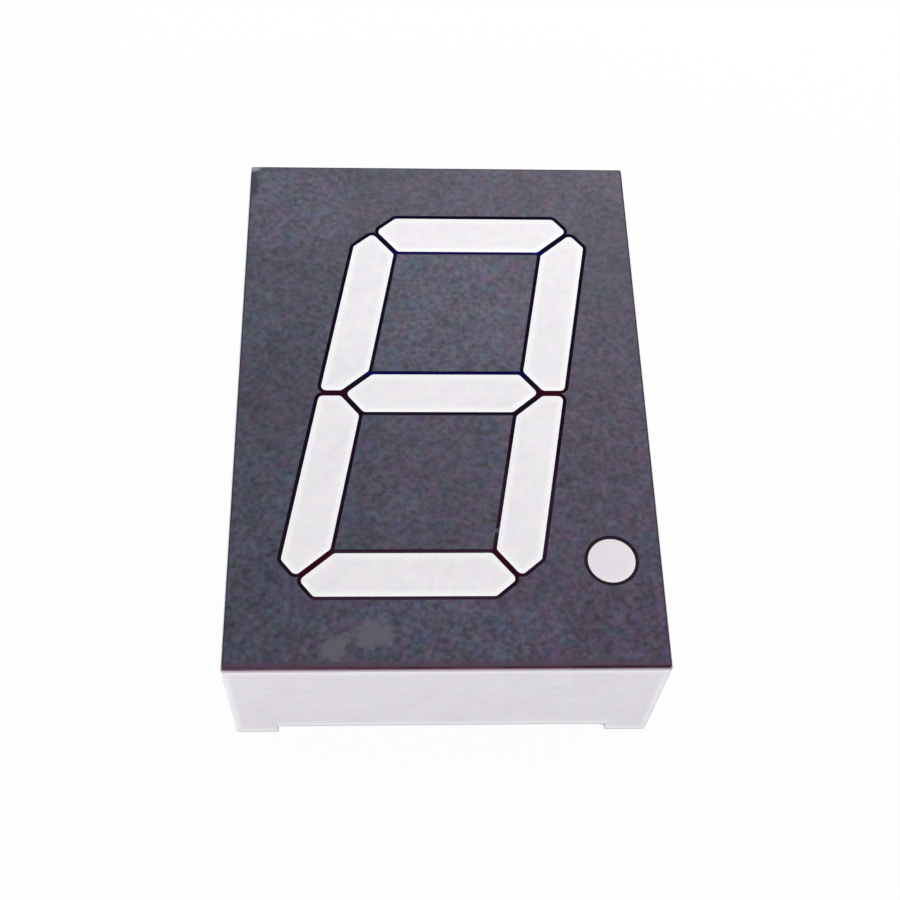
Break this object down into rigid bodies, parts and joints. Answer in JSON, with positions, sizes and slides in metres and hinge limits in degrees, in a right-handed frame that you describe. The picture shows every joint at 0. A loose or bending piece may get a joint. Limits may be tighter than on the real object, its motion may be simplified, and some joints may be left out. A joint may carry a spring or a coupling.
{
  "type": "seven segment display",
  "caption": "Slanted seven segment LED digit with a decimal point, in a white through-hole case with a dark grey face, corner feet, and pins along its top and bottom ends.",
  "frame": {"origin": "on the plane of the pin tips, under the centre of the case", "axes": "+X to the figure's right, +Y to the figure's top, +Z out of the face"},
  "size_m": [0.0282, 0.0404, 0.0159],
  "materials": {
    "case_plastic": "moulded white plastic, satin",
    "mask_print": "matt black print",
    "face_print": "dark grey print, finely mottled, lightly scuffed",
    "light_epoxy": "white diffusing cast epoxy",
    "board_laminate": "glass-fibre laminate",
    "led_die": "sawn semiconductor die",
    "gold_wire": "fine gold bond wire",
    "solder": "bright soft solder",
    "back_epoxy": "cast milky epoxy",
    "tinned_pin": "tinned round wire"
  },
  "bodies": {
    "root": {"housing": "case_plastic", "face_mask": "mask_print", "face_sheet": "face_print", "upper_counter": "face_print", "lower_counter": "face_print", "bar_a": "light_epoxy", "bar_b": "light_epoxy", "bar_c": "light_epoxy", "bar_d": "light_epoxy", "bar_e": "light_epoxy", "bar_f": "light_epoxy", "bar_g": "light_epoxy", "decimal_point": "light_epoxy", "circuit_board": "board_laminate", "chip_a1": "led_die", "chip_a2": "led_die", "chip_b1": "led_die", "chip_b2": "led_die", "chip_c1": "led_die", "chip_c2": "led_die", "chip_d1": "led_die", "chip_d2": "led_die", "chip_e1": "led_die", "chip_e2": "led_die", "chip_f1": "led_die", "chip_f2": "led_die", "chip_g1": "led_die", "chip_g2": "led_die", "chip_dp": "led_die", "wire_a1": "gold_wire", "wire_a2": "gold_wire", "wire_b1": "gold_wire", "wire_b2": "gold_wire", "wire_c1": "gold_wire", "wire_c2": "gold_wire", "wire_d1": "gold_wire", "wire_d2": "gold_wire", "wire_e1": "gold_wire", "wire_e2": "gold_wire", "wire_f1": "gold_wire", "wire_f2": "gold_wire", "wire_g1": "gold_wire", "wire_g2": "gold_wire", "wire_dp": "gold_wire", "solder_joints": "solder", "back_epoxy": "back_epoxy", "pin_1": "tinned_pin", "pin_2": "tinned_pin", "pin_3": "tinned_pin", "pin_4": "tinned_pin", "pin_5": "tinned_pin", "pin_6": "tinned_pin", "pin_7": "tinned_pin", "pin_8": "tinned_pin", "pin_9": "tinned_pin", "pin_10": "tinned_pin"}
  },
  "joints": []
}
